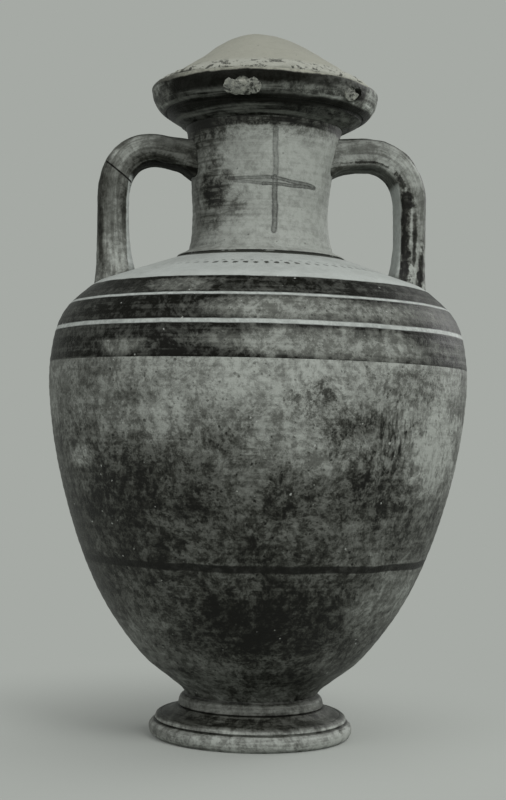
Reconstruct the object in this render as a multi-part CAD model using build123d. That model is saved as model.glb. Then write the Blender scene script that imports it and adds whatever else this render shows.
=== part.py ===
from build123d import *
import os
from math import atan2, cos, radians, sin, tan

os.makedirs("parts", exist_ok=True)

# Two-handled storage jar of fired clay with a domed lid, in millimetres.
# The origin is the middle of the ring foot on the ground, with Z up.
# The viewer's side is -Y and the handles stand to the left and right.

# Heights of the jar's thrown sections, one above the other
foot_height = 39.0
bowl_height = 121.0
belly_wall_height = 175.0
shoulder_height = 98.5
neck_height = 118.5
rim_height = 35.3

# Outer radii of the jar
waist_radius = 60.4
belly_radius = 189.5
shoulder_end_share = 0.7282
neck_seat_radius = 79.0
neck_base_radius = 68.0
neck_waist_radius = 61.2
neck_top_radius = 71.0
rim_overhang = 32.0
mouth_inset = 5.0

# Walls and how the sections lap into each other
wall = 8.5
neck_wall = 8.5
floor_thickness = 12.0
lap_height = 8.0
neck_flare_height = 6.8
bowl_seat_radius = 52.0
bowl_seat_depth = 7.0
belly_rise = 165.0
shoulder_end_rise = 77.0
neck_edge_drop = 1.9

# Ring foot
foot_radius = 92.5
foot_ring_width = 19.5
foot_recess_height = 24.0

# Rim and the peg holes that were later filled
mouth_depth = 20.0
front_peg_radius = 7.5
front_peg_height = 20.6
front_peg_turn = 12.0
side_peg_radius = 5.5
side_peg_height = 21.5
side_peg_turn = 48.0
peg_depth = 15.0
peg_clearance = 0.2
overrun = 20.0

# Lid
lid_inset = 6.5
lid_edge_thickness = 4.0
lid_crown_radius = 40.0
lid_slope = 33.5
lid_wall = 9.0
lid_flange_depth = 14.0
lid_flange_wall = 9.0
lid_clearance = 1.5

# Handles
handle_inset = 2.0
handle_rise_angle = 11.0
handle_root_height = 87.8
handle_width = 42.0
handle_thickness = 28.0
handle_outer_round = 12.0
handle_inner_round = 7.0
handle_turn = 5.5
handle_bend_share = 0.481
root_width_share = 1.42
root_thickness_share = 1.28
upper_root_share = 0.449
lower_root_share = 0.326
break_angle = 35.0

# Places where one section ends and the next begins
low_seam = foot_height + bowl_height
high_seam = low_seam + belly_wall_height
shoulder_top = high_seam + shoulder_height
neck_top = shoulder_top + neck_height
rim_top = neck_top + rim_height
belly_height = low_seam + belly_rise
shoulder_end = high_seam + shoulder_end_rise

# The rim and lid follow the neck, and the shoulder's curve ends at a share of the belly's radius
rim_radius = neck_top_radius + rim_overhang
mouth_radius = neck_top_radius - mouth_inset
lid_radius = rim_radius - lid_inset
foot_recess_radius = foot_radius - foot_ring_width
shoulder_end_radius = belly_radius * shoulder_end_share
neck_edge = shoulder_top - neck_edge_drop
shoulder_slope = atan2(neck_edge - shoulder_end, shoulder_end_radius - neck_seat_radius)

# The handles stand where the shoulder's curve ends, and their bend follows their reach
handle_reach = shoulder_end_radius - handle_inset
handle_bend_radius = (handle_reach - neck_waist_radius) * handle_bend_share

# Points of the body from the waist to the belly: radius share, then height share
body_low_shares = [(0.022, 0.015), (0.116, 0.049), (0.28, 0.107), (0.427, 0.184), (0.572, 0.28)]
body_low_shares += [(0.698, 0.392), (0.817, 0.536), (0.914, 0.696), (0.976, 0.856)]
# Points from the belly to the end of the shoulder's curve, the same way
body_high_shares = [(0.05, 0.315), (0.146, 0.535), (0.309, 0.704), (0.551, 0.841)]
body_high_shares += [(0.68, 0.905), (0.81, 0.958)]
# Points of the neck: radius share between its waist and its end, height share
neck_low_shares = [(0.2, 0.17)]
neck_waist_share = 0.4
neck_high_shares = [(0.18, 0.6), (0.55, 0.83)]
# Points of the rim between the neck's top and the rim's edge
rim_under_shares = [(0.28, 0.139), (0.53, 0.272)]
rim_groove_share = (0.569, 0.34)
rim_swell_shares = [(0.634, 0.329), (0.788, 0.445), (0.944, 0.666)]
rim_edge_share = 0.905
rim_flat_share = 0.89
# Mouldings of the foot from the waist down: a crease, then the three points of an arc,
# as shares of the way from the waist to the foot's edge and to the ground
foot_moulding_shares = [
    [(0.016, 0.044), (0.069, 0.056), (0.156, 0.159), (0.184, 0.272)],
    [(0.171, 0.292), (0.23, 0.308), (0.393, 0.405), (0.626, 0.462)],
    [(0.648, 0.472), (0.673, 0.464), (0.785, 0.508), (0.838, 0.592)],
    [(0.81, 0.623), (0.86, 0.641), (1.0, 0.795), (0.86, 1.0)],
]
# Sections of a handle's root, where 1 is just under the wall and the last lies deeper in it
root_shares = [0.0, 0.5, 1.0, 1.2]

offset_steps = 24
halvings = 40


def between(start, end, share):
    """The value a share of the way from one size to another."""
    return start + (end - start) * share


def between_points(start, end, shares):
    """Points given as shares of the way between two corners."""
    points = []
    for radius_share, height_share in shares:
        radius = between(start[0], end[0], radius_share)
        height = between(start[1], end[1], height_share)
        points.append((radius, height))
    return points


def inward(line, depth):
    """The line that lies a depth inside an outer line."""
    points = []
    for step in range(offset_steps + 1):
        place = line @ (step / offset_steps)
        along = line % (step / offset_steps)
        points.append((place.X - along.Y * depth, place.Y + along.X * depth))
    return Spline(*points)


def radius_at(line, height):
    """The radius at which a rising line reaches a height."""
    low = 0.0
    high = 1.0
    for _ in range(halvings):
        middle = (low + high) / 2
        if (line @ middle).Y < height:
            low = middle
        else:
            high = middle
    return (line @ low).X


def turned(outline):
    """A solid turned about the jar's axis from its half outline."""
    return revolve(Plane.YZ * make_face(outline), Axis.Z)


def slope_height(radius):
    """Height of the shoulder's straight slope at a radius."""
    return shoulder_end + (shoulder_end_radius - radius) * tan(shoulder_slope)


def body_line():
    """Outer line of the body from the waist to the end of the shoulder's curve."""
    waist = (waist_radius, foot_height)
    belly = (belly_radius, belly_height)
    end = (shoulder_end_radius, shoulder_end)
    points = [waist] + between_points(waist, belly, body_low_shares)
    points += [belly] + between_points(belly, end, body_high_shares) + [end]
    return Spline(*points)


def slope_points(depth):
    """Both ends of the shoulder's slope at a depth inside the wall."""
    drop = depth / cos(shoulder_slope)
    opening = neck_base_radius - neck_wall
    start = (shoulder_end_radius, slope_height(shoulder_end_radius) - drop)
    return start, (opening, slope_height(opening) - drop)


def body_wall():
    """Half section of the whole body wall, from the bowl's floor to the neck."""
    outer = body_line()
    inner = inward(outer, wall)
    floor = foot_height - bowl_seat_depth + floor_thickness
    seat = foot_height - bowl_seat_depth
    inner_start = inner @ 0
    inner_end = inner @ 1
    outer_end, outer_tip = slope_points(0)
    _, inner_tip = slope_points(wall)
    floor_line = Spline((0, floor), inner_start, tangents=[(1, 0), inner % 0])
    outline = outer + Line(outer_end, outer_tip) + Line(outer_tip, inner_tip)
    outline += Line(inner_tip, inner_end) + inner + floor_line
    outline += Polyline((0, floor), (0, seat), (bowl_seat_radius, seat), outer @ 0)
    return make_face(outline)


def lap(seam, rise):
    """Points of a lapped joint, from outside the wall to the axis."""
    middle_line = inward(body_line(), wall / 2)
    far = belly_radius + overrun
    corner = (radius_at(middle_line, seam), seam)
    step = (radius_at(middle_line, seam + rise), seam + rise)
    return [(far, seam), corner, step, (0, seam + rise)]


def cut_band(lower, upper):
    """The part of the body wall between two rows of joint points."""
    band = make_face(Polyline(*lower, *reversed(upper), lower[0]))
    return revolve(Plane.YZ * (body_wall() & band), Axis.Z)


def make_base_bowl():
    """Lower bowl with its floor, up to the low painted band."""
    ground = [(belly_radius + overrun, 0), (0, 0)]
    return cut_band(ground, lap(low_seam, -lap_height))


def make_belly_wall():
    """Tall middle wall of the belly."""
    return cut_band(lap(low_seam, -lap_height), lap(high_seam, lap_height))


def neck_seat_points():
    """The seat of the neck in the shoulder, from above down to the opening."""
    start, opening = slope_points(wall / 2)
    share = (start[0] - neck_seat_radius) / (start[0] - opening[0])
    seat = (neck_seat_radius, between(start[1], opening[1], share))
    return seat, opening


def make_shoulder():
    """Shoulder with the stepped seat for the neck."""
    seat, opening = neck_seat_points()
    top = shoulder_top + overrun
    roof = [(belly_radius + overrun, top), (neck_seat_radius, top), seat, opening, (0, opening[1])]
    return cut_band(lap(high_seam, lap_height), roof)


def neck_line(inset):
    """Side of the neck between its flare and the rim, set in by a wall."""
    base = shoulder_top + neck_flare_height
    waist = between(shoulder_top, neck_top, neck_waist_share)
    bottom = (neck_base_radius, base)
    middle = (neck_waist_radius, waist)
    top = (neck_top_radius, neck_top)
    points = [bottom] + between_points(middle, bottom, neck_low_shares) + [middle]
    points += between_points(middle, top, neck_high_shares) + [top]
    return Spline(*[(radius - inset, height) for radius, height in points])


def tongue_radius():
    """Outer radius of the tongue on the neck that enters the rim."""
    return neck_top_radius - neck_wall / 2


def make_neck():
    """Neck that flares at its foot and carries a tongue for the rim."""
    seat, opening = neck_seat_points()
    outer = neck_line(0)
    inner = neck_line(neck_wall)
    inner_radius = neck_top_radius - neck_wall
    edge = (neck_seat_radius, slope_height(neck_seat_radius))
    tongue = neck_top + lap_height
    outline = Polyline(inner @ 0, opening, seat, edge, outer @ 0) + outer
    outline += Polyline(outer @ 1, (tongue_radius(), neck_top), (tongue_radius(), tongue))
    outline += Polyline((tongue_radius(), tongue), (inner_radius, tongue), inner @ 1)
    outline += inner
    return turned(outline)


def rim_outline():
    """Closed half outline of the rim's ring."""
    start = (neck_top_radius, neck_top)
    end = (rim_radius, rim_top)
    under = between_points(start, end, rim_under_shares)
    groove = between_points(start, end, [rim_groove_share])[0]
    swell = between_points(start, end, rim_swell_shares)
    edge = (rim_radius, between(neck_top, rim_top, rim_edge_share))
    flat = (between(neck_top_radius, rim_radius, rim_flat_share), rim_top)
    inner_radius = neck_top_radius - neck_wall
    tongue = neck_top + lap_height
    outline = Spline(start, *under) + Polyline(under[-1], groove, swell[0])
    outline += Spline(*swell, edge)
    outline += TangentArc(edge, flat, tangent=(0, 1))
    outline += Polyline(flat, (mouth_radius, rim_top), (mouth_radius, rim_top - mouth_depth))
    outline += Polyline((mouth_radius, rim_top - mouth_depth), (inner_radius, tongue))
    outline += Polyline((inner_radius, tongue), (tongue_radius(), tongue))
    outline += Polyline((tongue_radius(), tongue), (tongue_radius(), neck_top), start)
    return outline


def peg(radius, height, turn, depth_start, depth_end):
    """A round peg that points out of the rim, turned to the right of the front."""
    facing = Vector(sin(radians(turn)), -cos(radians(turn)), 0)
    root = facing * depth_start + Vector(0, 0, neck_top + height)
    plane = Plane(origin=root, z_dir=facing)
    return plane * Cylinder(radius, depth_end - depth_start, align=(Align.CENTER, Align.CENTER, Align.MIN))


def peg_places():
    """Radius, height and turn of each peg hole."""
    front = (front_peg_radius, front_peg_height, -front_peg_turn)
    side = (side_peg_radius, side_peg_height, side_peg_turn)
    return front, side


def make_rim():
    """Heavy overhanging rim with two peg holes."""
    rim = turned(rim_outline())
    for radius, height, turn in peg_places():
        hole = peg(radius + peg_clearance, height, turn, rim_radius - peg_depth, rim_radius + overrun)
        rim -= hole
    return rim


def make_rim_plug(place):
    """Filling of one peg hole, flush with the rim's surface."""
    radius, height, turn = place
    body = peg(radius, height, turn, rim_radius - peg_depth, rim_radius + overrun)
    return body & turned(rim_outline())


def lid_line(depth, outer_radius, end_radius):
    """Straight slope and round crown of the dome at a depth inside it."""
    slope = radians(lid_slope)
    base = rim_top + lid_edge_thickness
    drop = depth / cos(slope)
    crown = lid_crown_radius - depth * sin(slope)
    start = (outer_radius, base + (end_radius - outer_radius) * tan(slope) - drop)
    knee = (crown, base + (end_radius - crown) * tan(slope) - drop)
    apex = (0, knee[1] + crown * tan(slope / 2))
    round_top = TangentArc(knee, apex, tangent=(-cos(slope), sin(slope)))
    return Line(start, knee) + round_top


def make_lid():
    """Hollow dome that rests on the rim, with a flange in the mouth."""
    crease = lid_radius - lid_edge_thickness
    flange = mouth_radius - lid_clearance
    bore = flange - lid_flange_wall
    bottom = rim_top - lid_flange_depth
    outer = lid_line(0, crease, crease)
    inner = lid_line(lid_wall, bore, crease)
    edge_top = (crease, rim_top + lid_edge_thickness)
    edge = (lid_radius, rim_top)
    outline = outer + inner + Line(outer @ 1, inner @ 1)
    outline += RadiusArc(edge_top, edge, lid_edge_thickness)
    outline += Polyline(edge, (flange, rim_top), (flange, bottom), (bore, bottom), inner @ 0)
    return turned(outline)


def foot_outline():
    """Closed half outline of the turned ring foot."""
    seat = foot_height - bowl_seat_depth
    waist = (waist_radius, foot_height)
    outline = Polyline((0, seat), (bowl_seat_radius, seat), waist)
    last = waist
    for shares in foot_moulding_shares:
        crease, start, middle, end = between_points(waist, (foot_radius, 0), shares)
        outline += Polyline(last, crease, start) + ThreePointArc(start, middle, end)
        last = end
    recess = (foot_recess_radius, 0)
    outline += Line(last, recess)
    outline += TangentArc((0, foot_recess_height), recess, tangent=(1, 0))
    outline += Line((0, foot_recess_height), (0, seat))
    return outline


def make_foot():
    """Turned foot with its mouldings, hollow underneath."""
    return turned(foot_outline())


def section_at(place, along, share):
    """Section of a handle, where the share runs from 0 on its grip to 1 at a root."""
    width = handle_width * between(1, root_width_share, share**2)
    thickness = handle_thickness * between(1, root_thickness_share, share**2)
    section = Rectangle(width, thickness)
    section = fillet(section.vertices().group_by(Axis.Y)[-1], handle_outer_round)
    section = fillet(section.vertices().group_by(Axis.Y)[0], handle_inner_round)
    return Plane(origin=place, x_dir=(0, 1, 0), z_dir=along) * section


def root(grip_end, wall_end, along):
    """Root that spreads from the grip's end to the wall it is pressed on."""
    sections = []
    for share in root_shares:
        sections.append(section_at(grip_end + (wall_end - grip_end) * share, along, share))
    return loft(sections)


def handle_corner_points():
    """Start in the neck, corner and end in the shoulder of the handle's middle line."""
    start_radius = neck_waist_radius - 2 * neck_wall
    start_height = shoulder_top + handle_root_height
    corner_height = start_height + (handle_reach - start_radius) * tan(radians(handle_rise_angle))
    start = Vector(start_radius, 0, start_height)
    corner = Vector(handle_reach, 0, corner_height)
    end = Vector(handle_reach, 0, slope_height(handle_reach) - wall)
    return start, corner, end


def make_handle(turn):
    """Whole handle, turned from the right and trimmed to the neck and the shoulder."""
    start, corner, end = handle_corner_points()
    rising = (corner - start).normalized()
    down = Vector(0, 0, -1)
    grip_start = start + (corner - start) * upper_root_share
    grip_end = end + (corner - end) * lower_root_share
    path = FilletPolyline(grip_start, corner, grip_end, radius=handle_bend_radius)
    handle = sweep(section_at(grip_start, rising, 0), path=path)
    handle += root(grip_start, start, rising)
    handle += root(grip_end, end, down)
    handle = Rotation(0, 0, turn) * handle
    handle -= body_envelope()
    handle -= neck_envelope()
    return handle


def body_envelope():
    """Everything inside the outer line of the body."""
    end, tip = slope_points(0)
    waist = (waist_radius, foot_height)
    outline = body_line() + Polyline(end, tip, (0, tip[1]), (0, foot_height), waist)
    return turned(outline)


def neck_envelope():
    """Everything inside the outer line of the neck."""
    side = neck_line(0)
    edge = (neck_seat_radius, slope_height(neck_seat_radius))
    outline = side + Polyline(side @ 1, (0, neck_top), (0, edge[1]), edge, side @ 0)
    return turned(outline)


def broken_handle(turn, side):
    """The part of a handle on one side of the old break across its bend."""
    start, corner, _ = handle_corner_points()
    slope = radians(handle_rise_angle)
    radius = handle_reach - handle_bend_radius
    height = corner.Z - handle_bend_radius * tan(slope) - handle_bend_radius / cos(slope)
    lean = radians(break_angle)
    place = Vector(radius, 0, height).rotate(Axis.Z, turn)
    facing = Vector(-sin(lean), 0, cos(lean)).rotate(Axis.Z, turn)
    return split(make_handle(turn), bisect_by=Plane(origin=place, z_dir=facing), keep=side)


def make_jar():
    """All pieces of the jar under their names."""
    left_turn = handle_turn + 180
    front, side = peg_places()
    pieces = {
        "foot": make_foot(),
        "base_bowl": make_base_bowl(),
        "belly_wall": make_belly_wall(),
        "shoulder": make_shoulder(),
        "neck": make_neck(),
        "rim": make_rim(),
        "rim_plug_front": make_rim_plug(front),
        "rim_plug_right": make_rim_plug(side),
        "lid": make_lid(),
        "right_handle": make_handle(handle_turn),
        "left_handle_upper": broken_handle(left_turn, Keep.TOP),
        "left_handle_lower": broken_handle(left_turn, Keep.BOTTOM),
    }
    return pieces


for name, piece in make_jar().items():
    export_step(piece, f"parts/{name}.step")
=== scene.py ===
from math import atan2, cos, pi, radians, sin

import bpy
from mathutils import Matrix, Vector
from mathutils.kdtree import KDTree


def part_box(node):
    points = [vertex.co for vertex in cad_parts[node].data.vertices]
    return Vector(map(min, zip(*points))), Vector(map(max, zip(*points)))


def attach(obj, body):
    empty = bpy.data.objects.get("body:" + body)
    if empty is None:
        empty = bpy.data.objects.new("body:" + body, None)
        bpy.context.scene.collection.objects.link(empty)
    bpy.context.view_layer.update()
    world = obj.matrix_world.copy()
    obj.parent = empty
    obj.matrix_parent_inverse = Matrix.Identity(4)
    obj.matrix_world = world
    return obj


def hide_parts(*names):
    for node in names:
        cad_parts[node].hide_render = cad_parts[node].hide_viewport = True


bl_info = {
    "name": "Two-handled storage jar",
    "version": (1, 0, 0),
    "blender": (4, 5, 0),
    "location": "3D View > Sidebar > Jar",
    "description": "Builds the looks of a lidded clay storage jar round its CAD frame",
    "category": "Object",
}

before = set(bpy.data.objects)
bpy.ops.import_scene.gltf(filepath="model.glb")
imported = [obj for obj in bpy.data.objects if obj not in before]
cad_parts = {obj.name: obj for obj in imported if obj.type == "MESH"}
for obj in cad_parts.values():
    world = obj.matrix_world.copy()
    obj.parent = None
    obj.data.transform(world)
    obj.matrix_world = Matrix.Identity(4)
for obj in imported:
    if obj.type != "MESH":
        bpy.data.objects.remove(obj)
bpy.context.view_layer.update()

MM = 0.001
LOW_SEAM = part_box("base_bowl")[1].z / MM
HIGH_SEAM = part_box("shoulder")[0].z / MM
BELLY_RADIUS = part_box("belly_wall")[1].x / MM
SHOULDER_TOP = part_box("shoulder")[1].z / MM
NECK_SEAT_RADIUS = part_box("neck")[1].x / MM
NECK_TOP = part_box("rim")[0].z / MM
RIM_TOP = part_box("rim")[1].z / MM
RIM_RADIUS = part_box("rim")[1].x / MM
LID_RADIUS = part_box("lid")[1].x / MM
LID_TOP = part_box("lid")[1].z / MM
FOOT_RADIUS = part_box("foot")[1].x / MM


def shade(red, green, blue):
    """A screen colour from 0 to 255 as the linear colour that a shader takes."""
    levels = [level / 255 for level in (red, green, blue)]
    return tuple(v / 12.92 if v <= 0.04045 else ((v + 0.055) / 1.055) ** 2.4 for v in levels)


def size(name, description, default, unit="LENGTH"):
    """A size that a user may change, in metres unless its unit says otherwise."""
    return bpy.props.FloatProperty(name=name, description=description, default=default, unit=unit)


def tint(name, description, *levels):
    """A colour that a user may change."""
    return bpy.props.FloatVectorProperty(
        name=name, description=description, default=shade(*levels), subtype="COLOR", min=0, max=1
    )


class JarSizes(bpy.types.PropertyGroup):
    """Sizes of the hand-made detail."""

    ring_depth: size(
        "Throwing rings", "Depth of the rings that the potter's fingers leave", 0.00012
    )
    ring_pitch: size("Ring pitch", "Height from one throwing ring to the next", 0.0082)
    sway: size("Sway", "How far the wall strays from a true circle", 0.0016)
    rim_lean: size(
        "Rim lean", "Angle by which the rim and lid sit askew", radians(0.85), "ROTATION"
    )
    neck_shift: size("Neck shift", "How far the middle of the neck lies to the left", 0.0017)
    crown_shift: size("Crown shift", "How far the crown of the lid lies to the left", 0.0065)
    plaster_lump: size("Plaster lumps", "Height of the lumps in the lid", 0.0022)


class JarColours(bpy.types.PropertyGroup):
    """Colours of the clay, the slips and the setting."""

    slip: tint("Dark slip", "Glossy dark slip where it is whole", 12, 12, 8)
    # Dark clay is also the tone that painted shade darkens towards in several finishes.
    clay_dark: tint("Dark clay", "Stained clay of the lower body", 44, 45, 40)
    clay: tint("Clay", "Bare clay at its middle tone", 92, 94, 89)
    clay_pale: tint("Pale clay", "Bare clay where it is clean", 146, 150, 144)
    cream: tint("Cream slip", "Pale slip on the shoulder", 163, 168, 164)
    plaster: tint("Plaster", "Plaster of the lid and the fillings", 140, 141, 130)
    lime: tint("Lime", "White lime crust and specks", 184, 188, 182)
    setting: tint("Setting", "Floor and backdrop", 166, 170, 165)


# Shader graphs


class Value:
    """What a shader node puts out, so that sums of nodes read as sums."""

    def __init__(self, graph, socket):
        self.graph = graph
        self.socket = socket

    def __add__(self, other):
        return self.graph.math("ADD", self, other)

    def __sub__(self, other):
        return self.graph.math("SUBTRACT", self, other)

    def __rsub__(self, other):
        return self.graph.math("SUBTRACT", other, self)

    def __mul__(self, other):
        return self.graph.math("MULTIPLY", self, other)

    def __truediv__(self, other):
        return self.graph.math("DIVIDE", self, other)


class Graph:
    """Adds nodes to a node tree and joins their sockets. Its effects look at its place."""

    def __init__(self, tree):
        self.tree = tree
        self.place = None

    def put(self, socket, value):
        """Joins a socket to a node's value, or sets it to a plain one."""
        if isinstance(value, Value):
            self.tree.links.new(value.socket, socket)
        elif socket.type == "RGBA":
            socket.default_value = (*value[:3], 1)
        else:
            socket.default_value = value

    def add(self, kind, inputs=(), **settings):
        """A new node with its settings and inputs."""
        node = self.tree.nodes.new("ShaderNode" + kind)
        for key, value in settings.items():
            setattr(node, key, value)
        for key, value in dict(inputs).items():
            self.put(node.inputs[key], value)
        return node

    def value(self, kind, output, inputs=(), **settings):
        """One of the values that a new node puts out."""
        return Value(self, self.add(kind, inputs, **settings).outputs[output])

    def math(self, operation, first, *others):
        """A math node's result, with vector math where the first value is a vector."""
        inputs = dict(enumerate((first, *others)))
        if not isinstance(first, Value) or first.socket.type == "VALUE":
            return self.value("Math", "Value", inputs, operation=operation)
        output = "Value" if operation in ("DOT_PRODUCT", "LENGTH", "DISTANCE") else "Vector"
        return self.value("VectorMath", output, inputs, operation=operation)

    def split(self, value, kind="SeparateXYZ"):
        """The three parts of a place or a colour."""
        return [Value(self, socket) for socket in self.add(kind, {0: value}).outputs]

    def any_of(self, *masks):
        """The strongest of the masks."""
        total = masks[0]
        for mask in masks[1:]:
            total = self.math("MAXIMUM", total, mask)
        return total

    def broken(self, mask, noise, least):
        """A mask broken up by a noise that leaves at least a share of it."""
        return mask * (noise * (1 - least) + least)

    def spread(self, value, low, high, start=0.0, end=1.0):
        """A value mapped softly from one range to another."""
        inputs = {"Value": value, "From Min": low, "From Max": high, "To Min": start, "To Max": end}
        return self.value("MapRange", "Result", inputs, interpolation_type="SMOOTHSTEP")

    def blend(self, factor, first, second):
        """Two colours mixed by a factor."""
        return self.value("Mix", 2, {0: factor, 6: first, 7: second}, data_type="RGBA")

    def tones(self, level, *rows):
        """A level turned into a colour through rows of level and colour."""
        ramp = self.add("ValToRGB", {0: level})
        stops = ramp.color_ramp.elements
        while len(stops) < len(rows):
            stops.new(1.0)
        for stop, (where, colour) in zip(stops, rows):
            stop.position = where
            stop.color = (*colour[:3], 1)
        return Value(self, ramp.outputs[0])

    def noise(self, scale, detail, roughness, place=None):
        """Cloud noise about 0.5."""
        inputs = {"Vector": place or self.place, "Scale": scale}
        return self.value("TexNoise", 0, inputs | {"Detail": detail, "Roughness": roughness})

    def drift(self, scale, detail):
        """Cloud noise of its own along each axis."""
        inputs = {"Vector": self.place, "Scale": scale, "Detail": detail}
        return self.value("TexNoise", "Color", inputs)

    def effect(self, group, **inputs):
        """What a shared effect puts out, with its inputs given by name."""
        node = self.tree.nodes.new("ShaderNodeGroup")
        node.node_tree = bpy.data.node_groups[group]
        for key, value in {"place": self.place, **inputs}.items():
            self.put(node.inputs[key.replace("_", " ").capitalize()], value)
        return Value(self, node.outputs[0])

    def band(self, edges, waver=0.6, edge=0.4):
        """A painted band between two heights, with all its sizes in millimetres."""
        sizes = {"low": edges[0], "high": edges[1], "waver": waver, "edge": edge}
        return self.effect("Band", **{name: length * MM for name, length in sizes.items()})

    def patches(self, rows, fray, grain=42.0, soft=0.45):
        """Soft patches in rows: across, height, half width, half height (mm) and strength."""
        masks = []
        for across, height, half_width, half_height, strength in rows:
            sizes = {"across": across * MM, "height": height * MM}
            sizes |= {"half_width": half_width * MM, "half_height": half_height * MM}
            mask = self.effect("Patch", fray=fray, grain=grain, soft=soft, **sizes)
            masks.append(mask * strength)
        return self.any_of(*masks)


def new_group(name, inputs, output="Mask"):
    """A shader node group with one output: its graph and what it is given."""
    tree = bpy.data.node_groups.new(name, "ShaderNodeTree")
    tree.interface.new_socket("Place", in_out="INPUT", socket_type="NodeSocketVector")
    for label, default in inputs.items():
        kind = "NodeSocketVector" if isinstance(default, tuple) else "NodeSocketFloat"
        socket = tree.interface.new_socket(label, in_out="INPUT", socket_type=kind)
        socket.default_value = default
    tree.interface.new_socket(output, in_out="OUTPUT", socket_type="NodeSocketFloat")
    graph = Graph(tree)
    sockets = tree.nodes.new("NodeGroupInput").outputs
    given = {socket.name: Value(graph, socket) for socket in sockets}
    graph.place = given["Place"]
    return graph, given


def close_group(graph, value):
    """Puts out a group's value."""
    graph.put(graph.tree.nodes.new("NodeGroupOutput").inputs[0], value)


def make_mottling_group():
    """Blotches of worn wash, broken up at every scale."""
    inputs = {"Scale": 9.0, "Low": 0.45, "High": 0.6, "Roughness": 0.62}
    graph, given = new_group("Mottling", inputs)
    place = graph.place + graph.drift(17.0, 3.0) * (0.03, 0.03, 0.02)
    cloud = graph.noise(given["Scale"], 11.0, given["Roughness"], place)
    close_group(graph, graph.spread(cloud, given["Low"], given["High"]))


def make_streak_group():
    """Fine streaks that a brush leaves on a turning pot, longer along than across."""
    inputs = {"Grain": (9.0, 9.0, 330.0), "Low": 0.42, "High": 0.62}
    graph, given = new_group("Brush streaks", inputs)
    streak = graph.noise(1.0, 4.0, 0.6, graph.place * given["Grain"])
    close_group(graph, graph.spread(streak, given["Low"], given["High"]))


def make_speck_group():
    """Scattered specks, such as lime spots and pits."""
    graph, given = new_group("Specks", {"Scale": 160.0, "Reach": 0.2, "Share": 0.1})
    place = graph.place + graph.drift(420.0, 2.0) * (0.0022, 0.0022, 0.0022)
    cell = graph.add("TexVoronoi", {"Vector": place, "Scale": given["Scale"]}).outputs
    lot = graph.split(Value(graph, cell["Color"]), "SeparateColor")
    reach = given["Reach"] * (lot[1] + 0.4)
    near = graph.spread(Value(graph, cell["Distance"]) / reach, 1.2, 0.8)
    close_group(graph, near * graph.math("LESS_THAN", lot[0], given["Share"]))


def make_patch_group():
    """A soft patch with a frayed edge, at one place on the viewer's side of the piece."""
    inputs = {"Across": 0.0, "Height": 0.0, "Half width": 0.03, "Half height": 0.02}
    inputs |= {"Fray": 0.5, "Grain": 42.0, "Soft": 0.45}
    graph, given = new_group("Patch", inputs)
    x, y, z = graph.split(graph.place)
    across = (x - given["Across"]) / given["Half width"]
    rise = (z - given["Height"]) / given["Half height"]
    reach = graph.math("SQRT", across * across + rise * rise)
    fray = (graph.noise(given["Grain"], 8.0, 0.68) - 0.5) * given["Fray"]
    inside = graph.spread(fray * 6.0 + reach, given["Soft"] + 1.0, 1.0 - given["Soft"])
    close_group(graph, inside * graph.spread(y, 0.008, -0.004))


def make_band_group():
    """A painted band between two heights, with brushed edges that waver a little."""
    inputs = {"Low": 0.0, "High": 0.1, "Waver": 0.0006, "Edge": 0.0004}
    graph, given = new_group("Band", inputs)
    height = graph.split(graph.place)[2]
    level = (graph.noise(24.0, 5.0, 0.62) - 0.5) * given["Waver"] * 4.0 + height
    soft = given["Edge"] * -1.0
    above = graph.spread(level - given["Low"], soft, given["Edge"])
    below = graph.spread(given["High"] - level, soft, given["Edge"])
    close_group(graph, above * below)


def make_stroke_group():
    """One brush stroke between two places on the front, with darker edges."""
    inputs = {"Start": (0.0, 0.0, 0.0), "End": (0.0, 0.0, 0.1), "Half width": 0.002}
    graph, given = new_group("Brush stroke", inputs)
    drift = (graph.drift(70.0, 4.0) - (0.5, 0.5, 0.5)) * (0.004, 0.0, 0.003)
    way = given["End"] - given["Start"]
    out = graph.place * (1.0, 0.0, 1.0) + drift - given["Start"]
    share = graph.math("DOT_PRODUCT", out, way) / graph.math("DOT_PRODUCT", way, way)
    near = way * graph.value("Clamp", "Result", {0: share})
    gap = graph.math("DISTANCE", out, near) / given["Half width"]
    grain = graph.spread(graph.noise(420.0, 5.0, 0.7), 0.4, 0.55)
    body = graph.broken(graph.spread(gap, 1.35, 0.65), grain, 0.75)
    rails = graph.spread(gap, 0.2, 0.9, 0.62)
    near_side = graph.spread(graph.split(graph.place)[1], 0.0, -0.01)
    close_group(graph, body * rails * near_side)


def make_dot_group():
    """A row of brushed dots round the axis."""
    inputs = {"Radius": 0.12, "Half long": 0.0022, "Half wide": 0.0024, "Count": 85.0, "Shift": 0.0}
    graph, given = new_group("Row of dots", inputs)
    x, y, _ = graph.split(graph.place)
    turns = graph.math("ARCTAN2", x, y * -1.0) * given["Count"] / (2 * pi)
    phase = graph.math("FRACT", turns + given["Shift"]) - 0.5
    pitch = given["Radius"] * (2 * pi) / given["Count"]
    along = phase * pitch / given["Half long"]
    out = graph.math("LENGTH", graph.place * (1.0, 1.0, 0.0))
    wide = (out - given["Radius"]) / given["Half wide"]
    reach = graph.math("SQRT", along * along + wide * wide)
    drift = graph.noise(210.0, 3.0, 0.6) - 0.5
    close_group(graph, graph.spread(drift * 2.4 + reach, 1.25, 0.75))


def make_grain_group():
    """Fine grain of fired clay with the rings of throwing, as a height for the bump."""
    graph, given = new_group("Clay grain", {"Scale": 260.0, "Rings": 0.6}, "Height")
    fine = graph.noise(given["Scale"], 8.0, 0.7)
    broad = graph.noise(45.0, 7.0, 0.62)
    rings = graph.noise(1.0, 2.0, 0.5, graph.place * (3.0, 3.0, 230.0))
    close_group(graph, rings * given["Rings"] + fine + broad * 0.5)


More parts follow.
